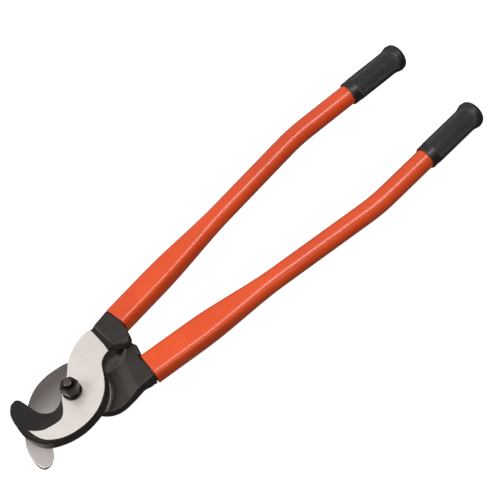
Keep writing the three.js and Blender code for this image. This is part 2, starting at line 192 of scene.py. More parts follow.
def plate_mesh(name, outline, holes, lines, top, bottom, zone, mats, grid=1.15, rings=(0.25, 0.6, 1.1, 1.8, 2.7), wall_rows=5, extra=(), sharp=38.0):
    """A forged plate: a plan triangulation shared by a top and a bottom height, with walls between.
    lines are creases (open or closed, as (points, closed)); zone(P, side) gives each face's material."""
    outline = np.asarray(outline)
    pts, edges = [], []

    def add_loop(p, closed=True):
        base = len(pts)
        for q in p:
            pts.append(Vector((float(q[0]), float(q[1]))))
        n = len(p)
        for i in range(n if closed else n - 1):
            edges.append((base + i, base + (i + 1) % n))
        return list(range(base, base + n))

    rim = add_loop(outline)
    hole_loops = [add_loop(h) for h in holes]
    keep_off = [(outline, True)] + [(h, True) for h in holes] + [(np.asarray(l), c) for l, c in lines]
    # creases are clipped to the outline
    for l, closed in lines:
        l = np.asarray(l, float)
        ok = inside(l, outline) & (dist(l, outline) > 0.02)
        for h in holes:
            ok &= ~inside(l, h)
        n = len(l)
        idx = {}
        for i in range(n):
            if ok[i]:
                idx[i] = len(pts)
                pts.append(Vector((float(l[i][0]), float(l[i][1]))))
        for i in range(n if closed else n - 1):
            j = (i + 1) % n
            if i in idx and j in idx:
                edges.append((idx[i], idx[j]))
    # rings that follow the outline
    nxt, prv = np.roll(outline, -1, 0), np.roll(outline, 1, 0)
    t = nxt - prv
    t /= np.hypot(*t.T)[:, None] + 1e-12
    nrm = np.c_[-t[:, 1], t[:, 0]]
    free = []
    for r in rings:
        c = outline + nrm * r
        c = c[inside(c, outline)]
        free.append(c[dist(c, outline) > r * 0.9])
    lo, hi = outline.min(0), outline.max(0)
    gx = np.arange(lo[0], hi[0], grid)
    gy = np.arange(lo[1], hi[1], grid * 0.866)
    G = np.array([(x + (grid / 2 if j % 2 else 0), y) for j, y in enumerate(gy) for x in gx])
    G = G[inside(G, outline)]
    G = G[dist(G, outline) > rings[-1] + grid * 0.5]
    free.append(G)
    for e in extra:
        free.append(np.asarray(e))
    F = np.vstack(free)
    ok = np.ones(len(F), bool)
    for h in holes:
        ok &= ~inside(F, h)
        ok &= dist(F, h) > grid * 0.4
    for l, closed in lines:
        ok &= dist(F, l, closed) > 0.3
    F = F[ok]
    # thin out points that almost coincide
    key = np.round(F / 0.22).astype(int)
    _, first = np.unique(key, axis=0, return_index=True)
    F = F[np.sort(first)]
    for q in F:
        pts.append(Vector((float(q[0]), float(q[1]))))
    co, ed, fa, ov, oe, of_ = delaunay_2d_cdt(pts, edges, [], 0, 1e-5, True)
    P = np.array([(c.x, c.y) for c in co])
    tri = np.array([f for f in fa if len(f) == 3], int)
    cen = P[tri].mean(1)
    a, b, c = P[tri[:, 0]], P[tri[:, 1]], P[tri[:, 2]]
    area = (b[:, 0] - a[:, 0]) * (c[:, 1] - a[:, 1]) - (b[:, 1] - a[:, 1]) * (c[:, 0] - a[:, 0])
    ok = inside(cen, outline) & (np.abs(area) > 1e-7)
    for h in holes:
        ok &= ~inside(cen, h)
    tri, area = tri[ok], area[ok]
    tri = np.where(area[:, None] > 0, tri, tri[:, ::-1])
    # boundary edges of the kept triangles, in order of direction
    count = {}
    for f in tri:
        for i in range(3):
            count[(f[i], f[(i + 1) % 3])] = True
    border = [(i, j) for (i, j) in count if (j, i) not in count]
    D = dist(P, outline)
    zt = top(P, D)
    zb = bottom(P, D)
    zt = np.maximum(zt, zb + 0.05)
    n = len(P)
    V = [np.c_[P, zt], np.c_[P, zb]]
    faces = [tuple(f) for f in tri] + [tuple(n + i for i in f[::-1]) for f in tri]
    C = P[tri].mean(1)
    mat = list(zone(C, "top", (zt[tri]).mean(1))) + list(zone(C, "bottom", (zb[tri]).mean(1)))
    # walls
    used = sorted({i for e in border for i in e})
    place = {v: k for k, v in enumerate(used)}
    U = np.array(used)
    rows = []
    base = 2 * n
    for r in range(1, wall_rows):
        w = r / wall_rows
        rows.append(base)
        V.append(np.c_[P[U], zt[U] * (1 - w) + zb[U] * w])
        base += len(U)

    def at(row, v):
        if row == 0:
            return v
        if row == wall_rows:
            return n + v
        return rows[row - 1] + place[v]
    WC = np.array([(P[i] + P[j]) / 2 for i, j in border])
    wall_m = zone(WC, "wall", np.zeros(len(WC)))
    for k, (i, j) in enumerate(border):
        for r in range(wall_rows):
            faces.append((at(r, i), at(r + 1, i), at(r + 1, j), at(r, j)))
            mat.append(wall_m[k])
    return np.vstack(V), faces, mat


# ------------------------------------------------------------------ handle line
def handle_point(h, x):
    yb = h["y0"] + h["k1"] * h["xb"]
    w = 16.0
    t = (x - h["xb"]) / w
    if t <= -1:
        return np.array([x, h["y0"] + h["k1"] * x])
    if t >= 1:
        return np.array([x, yb + h["k2"] * (x - h["xb"])])
    return np.array([x, h["y0"] + h["k1"] * x + (h["k2"] - h["k1"]) * w * 0.25 * (t + 1) ** 2])


def handle_dir(h, x):
    d = handle_point(h, x + 0.5) - handle_point(h, x - 0.5)
    return d / np.hypot(*d)


def section(h, x, inset, n, phase=0.0):
    """Ring of n points of the handle's cross-section at x."""
    t = min(max((x - (h["mouthX"] + 55)) / 105, 0), 1)
    f = 1 - t * t * (3 - 2 * t)
    w = 2 * TUBE_R * (1 - f) + h["mouthW"] * f - 2 * inset
    tt = 2 * TUBE_R * (1 - f) + MOUTH_T * f - 2 * inset
    a = np.arange(n) * 2 * math.pi / n + phase
    c, s = np.cos(a), np.sin(a)
    k = 2.0 + 1.5 * f
    r = ((np.abs(c) / (w / 2)) ** k + (np.abs(s) / (tt / 2)) ** k) ** (-1 / k)
    sx, sz = r * c, r * s
    p, d = handle_point(h, x), handle_dir(h, x)
    return np.c_[p[0] - d[1] * sx, p[1] + d[0] * sx, h["z"] + sz]


def skin(rings, cap0=True, cap1=True):
    """Faces of a loft through rings of equal size; a cap closes an end with a centre point."""
    V = np.vstack(rings)
    n = len(rings[0])
    F = []
    for k in range(len(rings) - 1):
        for i in range(n):
            j = (i + 1) % n
            F.append((k * n + i, k * n + j, (k + 1) * n + j, (k + 1) * n + i))
    if cap0:
        V = np.vstack([V, rings[0].mean(0)])
        c = len(V) - 1
        for i in range(n):
            F.append((c, (i + 1) % n, i))
    if cap1:
        V = np.vstack([V, rings[-1].mean(0)])
        c, b = len(V) - 1, (len(rings) - 1) * n
        for i in range(n):
            F.append((c, b + i, b + (i + 1) % n))
    return V, F


def turned(profile, n, radius=None, frame_at=None, closed=False):
    """A body of revolution about Z. profile is [(r, z), ...]; radius(r, z, angle) may shape it.
    closed joins the profile's ends, for a ring."""
    prof = list(profile)
    rings, poles = [], {}
    V, F = [], []
    ang = np.arange(n) * 2 * math.pi / n
    idx = []
    for r, z in prof:
        if r < 1e-6:
            idx.append([len(V)])
            V.append((0, 0, z))
        else:
            rr = np.full(n, r) if radius is None else radius(r, z, ang)
            idx.append(list(range(len(V), len(V) + n)))
            V.extend(zip(rr * np.cos(ang), rr * np.sin(ang), np.full(n, z)))
    m = len(idx)
    for k in range(m if closed else m - 1):
        A, B = idx[k], idx[(k + 1) % m]
        for i in range(n):
            j = (i + 1) % n
            if len(A) == 1 and len(B) == 1:
                continue
            if len(A) == 1:
                F.append((A[0], B[i], B[j]))
            elif len(B) == 1:
                F.append((A[i], A[j], B[0]))
            else:
                F.append((A[i], A[j], B[j], B[i]))
    V = np.array(V, float)
    if frame_at is not None:
        V = place(V, *frame_at)
    return V, F


def place(V, h, x):
    """From a body along +Z to the handle line at x, pointing away from the head."""
    p, d = handle_point(h, x), handle_dir(h, x)
    return np.c_[p[0] - d[1] * V[:, 0] + d[0] * V[:, 2], p[1] + d[0] * V[:, 0] + d[1] * V[:, 2], h["z"] + V[:, 1]]


def rounded(points, r, steps=4):
    """A profile with each listed corner rounded by r."""
    pts = [np.array(p, float) for p in points]
    out = [pts[0]]
    for i in range(1, len(pts) - 1):
        a, b, c = pts[i - 1], pts[i], pts[i + 1]
        u, v = a - b, c - b
        lu, lv = np.hypot(*u), np.hypot(*v)
        k = min(r, lu * 0.45, lv * 0.45)
        if k < 1e-3:
            out.append(b)
            continue
        p, q = b + u / lu * k, b + v / lv * k
        for s in range(steps + 1):
            t = s / steps
            out.append((1 - t) ** 2 * p + 2 * t * (1 - t) * b + t * t * q)
    out.append(pts[-1])
    return [(float(p[0]), float(p[1])) for p in out]


# ------------------------------------------------------------------ materials
def mat_base(name):
    m = bpy.data.materials.new(name)
    m.use_nodes = True
    nt = m.node_tree
    nt.nodes.clear()
    out = nt.nodes.new("ShaderNodeOutputMaterial")
    bsdf = nt.nodes.new("ShaderNodeBsdfPrincipled")
    nt.links.new(bsdf.outputs[0], out.inputs[0])
    tc = nt.nodes.new("ShaderNodeTexCoord")
    return m, nt, bsdf, tc


def N(nt, kind, **kw):
    n = nt.nodes.new(kind)
    for k, v in kw.items():
        setattr(n, k, v)
    return n


def noise(nt, tc, scale, detail=6.0, rough=0.55, stretch=(1, 1, 1), rot=(0, 0, 0)):
    mp = N(nt, "ShaderNodeMapping")
    mp.inputs["Scale"].default_value = stretch
    mp.inputs["Rotation"].default_value = rot
    nt.links.new(tc.outputs["Object"], mp.inputs["Vector"])
    n = N(nt, "ShaderNodeTexNoise")
    n.inputs["Scale"].default_value = scale
    n.inputs["Detail"].default_value = detail
    n.inputs["Roughness"].default_value = rough
    nt.links.new(mp.outputs[0], n.inputs["Vector"])
    return n


def ramp(nt, src, stops):
    r = N(nt, "ShaderNodeValToRGB")
    el = r.color_ramp.elements
    el[0].position, el[0].color = stops[0][0], stops[0][1]
    el[1].position, el[1].color = stops[-1][0], stops[-1][1]
    for pos, col in stops[1:-1]:
        e = el.new(pos)
        e.color = col
    nt.links.new(src, r.inputs[0])
    return r


def mix(nt, a, b, fac, blend="MIX"):
    m = N(nt, "ShaderNodeMix", data_type="RGBA", blend_type=blend)
    for sock, v in ((m.inputs[0], fac), (m.inputs[6], a), (m.inputs[7], b)):
        if hasattr(v, "is_output"):
            nt.links.new(v, sock)
        elif isinstance(v, tuple):
            sock.default_value = v
        else:
            sock.default_value = v
    return m.outputs[2]


def bump(nt, bsdf, src, strength, distance, prev=None):
    b = N(nt, "ShaderNodeBump")
    b.inputs["Strength"].default_value = strength
    b.inputs["Distance"].default_value = distance
    nt.links.new(src, b.inputs["Height"])
    if prev is not None:
        nt.links.new(prev, b.inputs["Normal"])
    nt.links.new(b.outputs[0], bsdf.inputs["Normal"])
    return b.outputs[0]


def g(v, a=1.0):
    """sRGB 0-255 to a linear colour."""
    out = []
    for c in v:
        c = c / 255.0
        out.append(c / 12.92 if c <= 0.04045 else ((c + 0.055) / 1.055) ** 2.4)
    return (*out, a)


def edge_wear_and_highlight(nt, tc, colour, worn_and_lit, radius, amount):
    """Lighter paint or metal where an edge is exposed: rubbed wear and a painted edge highlight, broken up by noise.
    Baked from the surface's own shape.
    """
    geo = N(nt, "ShaderNodeNewGeometry")
    n = noise(nt, tc, 260.0, 4.0)
    r = ramp(nt, geo.outputs["Pointiness"], [(0.50 + radius, (0, 0, 0, 1)), (0.50 + radius + 0.07, (1, 1, 1, 1))])
    k = N(nt, "ShaderNodeMath", operation="MULTIPLY")
    nt.links.new(r.outputs[0], k.inputs[0])
    nt.links.new(n.outputs["Fac"], k.inputs[1])
    k2 = N(nt, "ShaderNodeMath", operation="MULTIPLY")
    nt.links.new(k.outputs[0], k2.inputs[0])
    k2.inputs[1].default_value = amount
    return mix(nt, colour, worn_and_lit, k2.outputs[0])


def mat_ground(name, light, dark, painted_gradient=None, rough=(0.30, 0.42), metal=0.75):
    """Surface-ground tool steel: fine parallel grinding lines, faint stains, and an optional painted reflection
    gradient.
    """
    m, nt, bsdf, tc = mat_base(name)
    lines = noise(nt, tc, 60.0, 3.0, 0.6, (1.0, 34.0, 1.0), (0, 0, math.radians(28)))
    cloud = noise(nt, tc, 22.0, 4.0, 0.5)
    c = ramp(nt, cloud.outputs["Fac"], [(0.30, g(dark)), (0.68, g(light))]).outputs[0]
    tint = ramp(nt, lines.outputs["Fac"], [(0.30, (0.90, 0.90, 0.90, 1)), (0.70, (1.0, 1.0, 1.0, 1))]).outputs[0]
    c = mix(nt, c, tint, 1.0, "MULTIPLY")
    # painted reflection: the colour is blended toward a lighter one along an object axis, standing in for reflected
    # light
    if painted_gradient is not None:
        (axis, a, b, col) = painted_gradient
        sep = N(nt, "ShaderNodeSeparateXYZ")
        nt.links.new(tc.outputs["Object"], sep.inputs[0])
        mr = N(nt, "ShaderNodeMapRange", interpolation_type="SMOOTHSTEP")
        mr.inputs["From Min"].default_value, mr.inputs["From Max"].default_value = a, b
        nt.links.new(sep.outputs[axis], mr.inputs["Value"])
        c2 = mix(nt, g(col), tint, 1.0, "MULTIPLY")
        c = mix(nt, c, c2, mr.outputs[0])
    nt.links.new(c, bsdf.inputs["Base Color"])
    rr = N(nt, "ShaderNodeMapRange")
    rr.inputs["To Min"].default_value, rr.inputs["To Max"].default_value = rough
    nt.links.new(lines.outputs["Fac"], rr.inputs["Value"])
    nt.links.new(rr.outputs[0], bsdf.inputs["Roughness"])
    bsdf.inputs["Metallic"].default_value = metal
    bump(nt, bsdf, lines.outputs["Fac"], 0.18, 0.00006)
    return m


def mat_forged(name, base, light, rough=(0.36, 0.52), metal=0.35, wear_and_highlight=None, bump_mm=0.12):
    """Black-oxide forging: soft scale texture, slight brown and grey patches, rubbed edges that also carry a painted
    edge highlight.
    """
    m, nt, bsdf, tc = mat_base(name)
    big = noise(nt, tc, 38.0, 5.0, 0.55)
    fine = noise(nt, tc, 520.0, 6.0, 0.62)
    c = ramp(nt, big.outputs["Fac"], [(0.32, g(base)), (0.50, g([(p + q) / 2 for p, q in zip(base, light)])), (0.70, g(light))]).outputs[0]
    speck = ramp(nt, fine.outputs["Fac"], [(0.35, (0.80, 0.80, 0.80, 1)), (0.62, (1.0, 1.0, 1.0, 1))]).outputs[0]
    c = mix(nt, c, speck, 1.0, "MULTIPLY")
    if wear_and_highlight is not None:
        c = edge_wear_and_highlight(nt, tc, c, g(wear_and_highlight), 0.03, 0.9)
    nt.links.new(c, bsdf.inputs["Base Color"])
    rr = N(nt, "ShaderNodeMapRange")
    rr.inputs["To Min"].default_value, rr.inputs["To Max"].default_value = rough
    nt.links.new(fine.outputs["Fac"], rr.inputs["Value"])
    nt.links.new(rr.outputs[0], bsdf.inputs["Roughness"])
    bsdf.inputs["Metallic"].default_value = metal
    n1 = bump(nt, bsdf, big.outputs["Fac"], 0.35, bump_mm / 1000.0 * 4)
    bump(nt, bsdf, fine.outputs["Fac"], 0.35, bump_mm / 1000.0, n1)
    return m


def mat_paint(name, base, deep, rough=(0.24, 0.34)):
    """Gloss enamel over steel tube: slight orange peel and depth variation, faint handling marks."""
    m, nt, bsdf, tc = mat_base(name)
    peel = noise(nt, tc, 620.0, 2.0, 0.5)
    cloud = noise(nt, tc, 14.0, 4.0, 0.55)
    dust = noise(nt, tc, 1500.0, 3.0, 0.6)
    c = ramp(nt, cloud.outputs["Fac"], [(0.30, g(deep)), (0.66, g(base))]).outputs[0]
    sp = ramp(nt, dust.outputs["Fac"], [(0.28, (0.95, 0.95, 0.95, 1)), (0.46, (1, 1, 1, 1))]).outputs[0]
    c = mix(nt, c, sp, 1.0, "MULTIPLY")
    nt.links.new(c, bsdf.inputs["Base Color"])
    rr = N(nt, "ShaderNodeMapRange")
    rr.inputs["To Min"].default_value, rr.inputs["To Max"].default_value = rough
    nt.links.new(cloud.outputs["Fac"], rr.inputs["Value"])
    nt.links.new(rr.outputs[0], bsdf.inputs["Roughness"])
    bsdf.inputs["Specular IOR Level"].default_value = 0.35
    bsdf.inputs["Coat Weight"].default_value = 0.45
    bsdf.inputs["Coat Roughness"].default_value = 0.19
    bump(nt, bsdf, peel.outputs["Fac"], 0.03, 0.00002)
    return m


def mat_rubber(name, base, light, rough=(0.46, 0.64)):
    """Moulded black rubber: matt, with fine pores and a little dust."""
    m, nt, bsdf, tc = mat_base(name)
    pores = noise(nt, tc, 1400.0, 4.0, 0.6)
    cloud = noise(nt, tc, 45.0, 4.0, 0.55)
    c = ramp(nt, cloud.outputs["Fac"], [(0.30, g(base)), (0.72, g(light))]).outputs[0]
    nt.links.new(c, bsdf.inputs["Base Color"])
    rr = N(nt, "ShaderNodeMapRange")
    rr.inputs["To Min"].default_value, rr.inputs["To Max"].default_value = rough
    nt.links.new(pores.outputs["Fac"], rr.inputs["Value"])
    nt.links.new(rr.outputs[0], bsdf.inputs["Roughness"])
    bsdf.inputs["Specular IOR Level"].default_value = 0.5
    bump(nt, bsdf, pores.outputs["Fac"], 0.04, 0.00003)
    return m


M_BRIGHT = mat_ground("ground_steel", (244, 237, 231), (234, 226, 221), metal=0.7)
# painted shade: a darker copy of the ground steel for the mating faces, with a painted reflection that lightens it
# towards -Y
M_REAR_PAINTED_SHADE = mat_ground("ground_steel_rear_painted_shade", (98, 92, 91), (90, 84, 83), painted_gradient=("Y", 0.036, -0.010, (186, 179, 175)), rough=(0.38, 0.5), metal=0.6)
M_BEVEL = mat_forged("ground_bevel", (28, 24, 22), (35, 30, 28), rough=(0.40, 0.55), metal=0.3, bump_mm=0.03)
M_FORGED = mat_forged("forged_black", (44, 39, 36), (56, 50, 46), wear_and_highlight=(96, 89, 84))
M_OXIDE = mat_forged("black_oxide", (34, 27, 24), (44, 36, 32), rough=(0.26, 0.40), metal=0.75, wear_and_highlight=(120, 110, 104), bump_mm=0.03)
M_SPRING = mat_forged("spring_steel", (70, 66, 64), (88, 84, 82), rough=(0.28, 0.42), metal=0.85, bump_mm=0.02)
M_BUSH = mat_forged("bush_steel", (120, 112, 100), (138, 130, 118), rough=(0.28, 0.40), metal=0.85, bump_mm=0.02)
M_ORANGE = mat_paint("orange_enamel", (208, 72, 22), (192, 61, 20))
M_RUBBER = mat_rubber("grip_rubber", (21, 19, 18), (29, 26, 25), rough=(0.32, 0.46))
M_PLUG = mat_rubber("plug_plastic", (26, 26, 26), (34, 34, 34), rough=(0.38, 0.5))
# painted shade: a near-black matt copy of the forging for the front ramp and rolled edge
M_NECK_PAINTED_SHADE = mat_forged("neck_painted_shade", (20, 17, 15), (28, 24, 22), rough=(0.58, 0.72), metal=0.0, bump_mm=0.06)
for nd in M_NECK_PAINTED_SHADE.node_tree.nodes:
    if nd.type == "BSDF_PRINCIPLED":
        nd.inputs["Specular IOR Level"].default_value = 0.18
# painted light: a lighter copy of the oxide for the bolt end's top faces
M_TOP_PAINTED_LIGHT = mat_forged("bolt_top_painted_light", (84, 76, 72), (98, 90, 85), rough=(0.30, 0.42), metal=0.75, bump_mm=0.03)
# painted light: a lighter copy of the forging for the scoop, where the lamps don't reach
M_POCKET_PAINTED_LIGHT = mat_forged("pocket_painted_light", (98, 91, 85), (120, 111, 104), rough=(0.26, 0.38), metal=0.45, wear_and_highlight=(120, 112, 106), bump_mm=0.05)
M_PIN = mat_forged("pin_steel", (40, 37, 35), (54, 50, 48), rough=(0.32, 0.46), metal=0.7, bump_mm=0.02)

# ------------------------------------------------------------------ blades
STEP = 0.95
F_EDGE = shift([(-5.5, 10.9), (-12.5, 8.2), (-18.6, 5.3), (-25.0, 4.5), (-30.7, 7.6), (-35.6, 13.9), (-38.0, 22.1), (-39.0, 30), (-40.3, 38), (-42.0, 46)])
F_FACE = shift([(-6.2, 9.0), (-12.0, 1.0), (-19.1, -10.2), (-27.0, -16.0), (-39.6, -14.2), (-49.1, -9.9), (-58.5, 2), (-63, 21), (-70, 38), (-78, 56)])
front_outline = loop([
    (shift([(83.0, 45.9), (72, 43.6), (60.6, 41.8), (57.8, 43.5)]), False),
    (shift([(57.8, 43.5), (54.0, 43.95), (49.0, 43.9), (40.9, 42.6), (30.2, 38.0), (23.2, 34.0), (18.0, 29.6), (13.2, 24.4), (8.2, 18.8), (2.0, 13.8), (-5.5, 10.9), (-12.5, 8.2), (-18.6, 5.3), (-25.0, 4.5), (-30.7, 7.6), (-35.6, 13.9), (-38.0, 22.1), (-39.0, 30), (-40.3, 38)]), True),
    (shift([(-40.3, 38), (-41.8, 42.2), (-45.6, 44.4), (-50.4, 43.4), (-53.4, 40.0), (-57.6, 33.5), (-60.4, 25.5), (-62.5, 14), (-62.9, 3.5), (-61.5, -8.9), (-57.2, -20.2), (-50.8, -27.4), (-39.0, -34.2), (-27.5, -38.0), (-14.1, -39.6), (0.8, -38.0), (13.6, -34.0), (25.6, -25.6), (33.6, -14.6), (37.6, -5.2), (41.7, 2.6), (47.5, 6.9), (54.0, 8.8), (60.5, 8.8), (66.0, 6.2), (70.4, 2.4), (76.2, 0.6), (81.0, 3.7), (83.3, 9.5), (84.8, 16.5), (85.8, 21.4)]), True),
    (shift([(85.8, 21.4), (83.0, 45.9)]), False),
], STEP)
# where the ground face stops and the black edge rolls over (row frame)
BRIGHT_OUT = [(-57.6, -3.4), (-56.6, -10.1), (-54.7, -16.6), (-51.1, -22.9), (-44.9, -28.8), (-37.6, -33.4), (-28.4, -36.6), (-17.8, -38.2), (-8.4, -38.0), (1.0, -36.2), (10.1, -32.4), (18.0, -27.4), (24.9, -21.3), (31.6, -12.2), (35.8, -5.0), (40.3, 2.4), (45.2, 6.2), (49.8, 7.9), (54.2, 8.6)]
bright_line = spline(BRIGHT_OUT, 160)
RAMP_L = [(54.0, 5.0), (54.5, 10.0), (56.0, 17.5), (57.0, 30.8), (57.3, 40.0), (57.4, 48.0)]
edge_f, face_f = spline(F_EDGE, 120), spline(F_FACE, 120)
F_START = (-5.5 - PX, 10.9 - PY)
bevel_f = np.vstack([edge_f, face_f[::-1]])
deep = shift([(54.0, 8.9), (57.8, 50), (90, 50), (85.8, 21.4), (85.4, 17.0), (83.6, 12.0), (79.6, 8.4), (73.0, 7.2), (67.0, 7.4), (61.5, 9.2)])
ramp_line = np.array(RAMP_L)
# region outside the ground face, between it and the outline
outer_zone = np.vstack([bright_line, [(60, 0), (60, -60), (-90, -60), (-90, 60), (-70, 60)], face_f[::-1][:60]])


def ramp_x(y, dx0=0.0):
    return np.interp(y, [5.0, 10.0, 17.5, 30.8, 40.0, 48.0], [54.0, 54.5, 56.0, 57.0, 57.3, 57.4]) + dx0


face_keep = face_f[face_f[:, 0] > -57.9]
BRIGHT_POLY = np.vstack([face_keep, bright_line, [(ramp_x(y), y) for y in np.linspace(9, 48, 20)], [(40, 60), (-6.0, 60), (-8, 20)]])


def front_top(P, D):
    x, y = P[:, 0], P[:, 1]
    h = np.full(len(P), BLADE)
    xr = np.interp(y, [0, 50], [62.2, 63.8])
    xl = ramp_x(y)
    t = (x - xl - 0.9) / (xr - xl - 0.9)
    h = BLADE + (HEAD - BLADE) * soft_ramp(t, 0.05)
    # ground bevel behind the cutting edge
    de, df = dist(P, edge_f, False), dist(P, face_f, False)
    inb = inside(P, bevel_f) | (de < 0.7)
    tb = de / (de + df + 1e-9)
    root = BLADE - (BLADE - 0.9) * smooth01(np.hypot(x - F_START[0], y - F_START[1]) / 7.0)
    hb = root + (BLADE - root) * (0.82 * tb + 0.18 * tb * tb)
    h = np.where(inb, np.minimum(h, hb), h)
    # black rolled edge outside the ground face
    outz = (~inside(P, BRIGHT_POLY)) & (x < 56) & (y < 9)
    db = dist(P, bright_line, False)
    span = np.maximum(db + D, 1e-6)
    depth = 0.8 + 2.6 * smooth01((span - 0.8) / 4.0)
    u = np.clip(db / span, 0, 1)
    roll = depth * (1 - np.sqrt(np.maximum(1 - u * u * 0.96, 0)))
    h = np.where(outz & ~inb, h - roll, h)
    # rounded outer edge along the hook's tip
    tip = inb & (x < -42)
    r_tip = 2.6
    h = np.where(tip & (de > 3.0), h - roll_off(D, np.minimum(r_tip, np.maximum(de - 3.0, 0.01))), h)
    # head: rounded sides, larger on the stop lobe
    head = x > 56.5
    lobe = smooth01((14 - y) / 10.0) * smooth01((x - 58) / 6.0)
    r = 1.1 + 4.4 * lobe
    mouth = smooth01((x - 80.0) / 3.5) * smooth01((y - 18) / 6.0)
    r = r * (1 - 0.75 * mouth)
    h = np.where(head, h - roll_off(D, r), h)
    # small break on the ground face's upper edge
    top_edge = (~inb) & (~outz) & (~head)
    h = np.where(top_edge & (y > -2), h - roll_off(D, np.full(len(P), 0.45)), h)
    return MID + h


def front_bottom(P, D):
    x, y = P[:, 0], P[:, 1]
    z = np.full(len(P), GAP)
    ind = inside(P, np.array(deep))
    dd = dist(P, np.array(deep))
    s = np.where(ind, dd, -dd)
    under = GAP + (HEAD_IN - GAP) * np.clip((x - 55.1) / 8.5, 0, 1)
    lobe = np.where(x > 55.1, LOBE_IN, GAP)
    lobe = GAP + (LOBE_IN - GAP) * smooth01((x - 55.1) / 5.0)
    k = smooth01((s + 0.0) / 0.9)
    z = np.where(x > 55.1, under * k + lobe * (1 - k), z)
    z = z + np.where(x > 62, roll_off(D, np.full(len(P), 1.6)), 0) + np.where((x <= 62) & (x > -5) & (y > 0), roll_off(D, np.full(len(P), 0.6)), 0)
    return MID + z


def outer_black(C):
    return (~inside(C, BRIGHT_POLY)) & (C[:, 0] < 56) & (C[:, 1] < 9)


def front_zone(C, side, z):
    m = np.full(len(C), 1)
    if side == "top":
        inb = inside(C, bevel_f) | (dist(C, edge_f, False) < 0.7)
        br = inside(C, BRIGHT_POLY) & ~inb & (C[:, 0] < ramp_x(C[:, 1]))
        m = np.where(br, 0, m)
        m = np.where(inb, 2, m)
        # painted shade: the ramp and the rolled edge take the near-black neck material
        m = np.where((C[:, 0] >= ramp_x(C[:, 1])) & (C[:, 0] < 62.0) & (C[:, 1] > 9), 4, m)
        m = np.where(outer_black(C) & ~inb, 4, m)
    elif side == "bottom":
        # painted shade: the underside ground face takes the darker ground-steel copy
        m = np.where(C[:, 0] < 55.0, 3, 1)
    else:
        m = np.where(dist(C, edge_f, False) < 0.6, 0, 1)
        top_wall = (C[:, 1] > 12) & (C[:, 0] > -4) & (C[:, 0] < 56)
        m = np.where(top_wall, 0, m)
    return m


def circle(r, n=64):
    a = np.arange(n) * 2 * math.pi / n
    return np.c_[r * np.cos(a), r * np.sin(a)]


ramp_pts = even([(ramp_x(y), y) for y in np.linspace(5, 48, 60)], 0.9)
V1, F1, A1 = plate_mesh("front_blade", front_outline, [circle(BORE_R, 72)],
                        [(even(face_f, 0.8), False), (even(bright_line, 0.8), False), (ramp_pts, False), (even([(62.4, 9.0), (63.7, 46.0)], 0.9), False)],
                        front_top, front_bottom, front_zone, None, rings=(0.2, 0.5, 0.9, 1.4, 2.1, 3.0, 4.1))


def tang(h, x0, x1):
    xs = [x0, x0 + 0.6] + list(np.linspace(x0 + 4, x1 - 1.0, 14)) + [x1]
    rings = [section(h, x, WALL + 0.3 + (0.6 if k == len(xs) - 1 else 0.0), 64) for k, x in enumerate(xs)]
    return skin(rings)


def fused(name, a, b, mats):
    """Two closed bodies united into one skin."""
    oa = new_object(name, a[0], a[1], mats, a[2], sharp=32)
    ob = new_object(name + "_tang", b[0], b[1], mats, b[2], sharp=32)
    md = oa.modifiers.new("unite", "BOOLEAN")
    md.operation, md.solver, md.object = "UNION", "MANIFOLD", ob
    bpy.context.view_layer.update()
    me = bpy.data.meshes.new_from_object(oa.evaluated_get(bpy.context.evaluated_depsgraph_get()))
    oa.modifiers.clear()
    oa.data = me
    gone = ob.data
    bpy.data.objects.remove(ob)
    bpy.data.meshes.remove(gone)
    bm = bmesh.new()
    bm.from_mesh(me)
    loose = [e for e in bm.edges if len(e.link_faces) != 2]
    for e in bm.edges:
        e.smooth = len(e.link_faces) == 2 and e.calc_face_angle(0) <= math.radians(32)
    for f in bm.faces:
        f.smooth = True
    bm.to_mesh(me)
    bm.free()
    me.name = name
    print(name, len(me.polygons), "faces", len(loose), "open edges")
    return oa


def join(parts):
    V, F, A = [], [], []
    base = 0
    for v, f, a in parts:
        V.append(v)
        F.extend([tuple(i + base for i in q) for q in f])
        A.extend(a)
        base += len(v)
    return np.vstack(V), F, A


tv, tf = tang(UPPER, UPPER["mouthX"] - 4, UPPER["mouthX"] + 55)
front_jaw = fused("front_jaw_forging", (V1, F1, A1), (tv, tf, [1] * len(tf)), [M_BRIGHT, M_FORGED, M_BEVEL, M_REAR_PAINTED_SHADE, M_NECK_PAINTED_SHADE])

